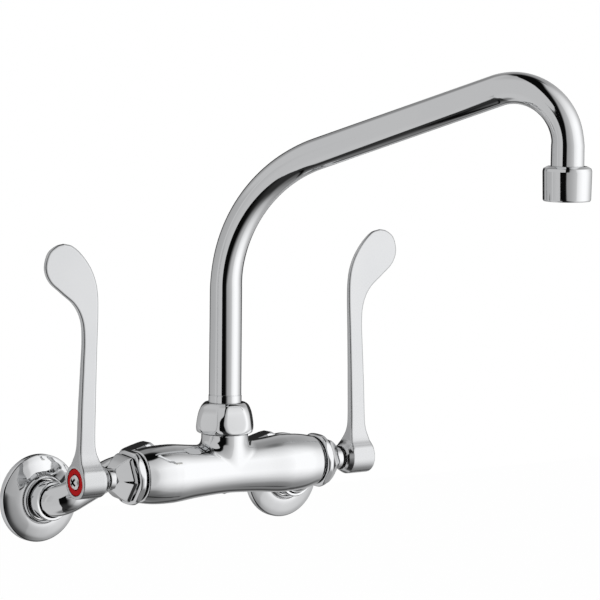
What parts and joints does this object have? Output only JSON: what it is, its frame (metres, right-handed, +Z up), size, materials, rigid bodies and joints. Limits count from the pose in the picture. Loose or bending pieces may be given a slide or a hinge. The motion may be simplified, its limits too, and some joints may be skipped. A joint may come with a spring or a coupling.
{
  "type": "wall faucet",
  "caption": "Wall-mounted two-valve kitchen faucet: waisted barrel on two offset supply arms, bent swing spout, upright wrist-blade lever handles.",
  "frame": {"origin": "On the wall plane, midway between the two water inlets.", "axes": "+X along the barrel from the hot valve to the cold valve, +Y into the wall, +Z up."},
  "size_m": [0.2464, 0.265, 0.2765],
  "materials": {
    "chrome_plate": "polished chrome plate on brass",
    "bare_brass": "machined brass",
    "stainless_screw": "turned stainless steel",
    "ceramic": "lapped white ceramic",
    "nylon": "natural moulded nylon",
    "seal_rubber": "black moulded rubber",
    "red_index": "red plastic ring",
    "blue_index": "blue plastic ring"
  },
  "bodies": {
    "faucet": {"faucet_body": "chrome_plate", "spout_nut": "chrome_plate", "spout_thrust_washer": "nylon", "hot_bonnet": "chrome_plate", "hot_cartridge_housing": "bare_brass", "hot_fixed_disc": "ceramic", "hot_seat_seal": "seal_rubber", "hot_union_nut": "chrome_plate", "hot_union_washer": "seal_rubber", "cold_bonnet": "chrome_plate", "cold_cartridge_housing": "bare_brass", "cold_fixed_disc": "ceramic", "cold_seat_seal": "seal_rubber", "cold_union_nut": "chrome_plate", "cold_union_washer": "seal_rubber"},
    "spout": {"spout_tube": "chrome_plate", "spout_retaining_ring": "bare_brass", "spout_upper_o_ring": "seal_rubber", "spout_lower_o_ring": "seal_rubber", "aerator_housing": "chrome_plate", "aerator_insert": "nylon", "aerator_gasket": "seal_rubber"},
    "hot_lever": {"hot_handle": "chrome_plate", "hot_handle_screw": "stainless_screw", "hot_index_ring": "red_index", "hot_cartridge_stem": "bare_brass", "hot_moving_disc": "ceramic", "hot_stem_o_ring": "seal_rubber"},
    "cold_lever": {"cold_handle": "chrome_plate", "cold_handle_screw": "stainless_screw", "cold_index_ring": "blue_index", "cold_cartridge_stem": "bare_brass", "cold_moving_disc": "ceramic", "cold_stem_o_ring": "seal_rubber"},
    "hot_arm": {"hot_supply_arm": "chrome_plate", "hot_inlet_shank": "chrome_plate", "hot_wall_flange": "chrome_plate"},
    "cold_arm": {"cold_supply_arm": "chrome_plate", "cold_inlet_shank": "chrome_plate", "cold_wall_flange": "chrome_plate"}
  },
  "joints": [
    {"name": "spout_swing", "type": "hinge", "parent": "faucet", "child": "spout", "pos_m": [0, -0.065, 0.045], "axis": [0, 0, 1], "range_deg": [-132, 68]},
    {"name": "hot_lever_turn", "type": "hinge", "parent": "faucet", "child": "hot_lever", "pos_m": [-0.0925, -0.065, 0.0182], "axis": [1, 0, 0], "range_deg": [0, 90]},
    {"name": "cold_lever_turn", "type": "hinge", "parent": "faucet", "child": "cold_lever", "pos_m": [0.0925, -0.065, 0.0182], "axis": [1, 0, 0], "range_deg": [0, 90]},
    {"name": "hot_arm_turn", "type": "hinge", "parent": "faucet", "child": "hot_arm", "pos_m": [-0.043, -0.04, 0.0182], "axis": [0, 1, 0], "range_deg": [-67.3, 112.7]},
    {"name": "cold_arm_turn", "type": "hinge", "parent": "faucet", "child": "cold_arm", "pos_m": [0.043, -0.04, 0.0182], "axis": [0, 1, 0], "range_deg": [-112.7, 67.3]}
  ],
  "couplings": [
    {"joint": "cold_arm_turn", "follows": "hot_arm_turn", "ratio": -1}
  ]
}
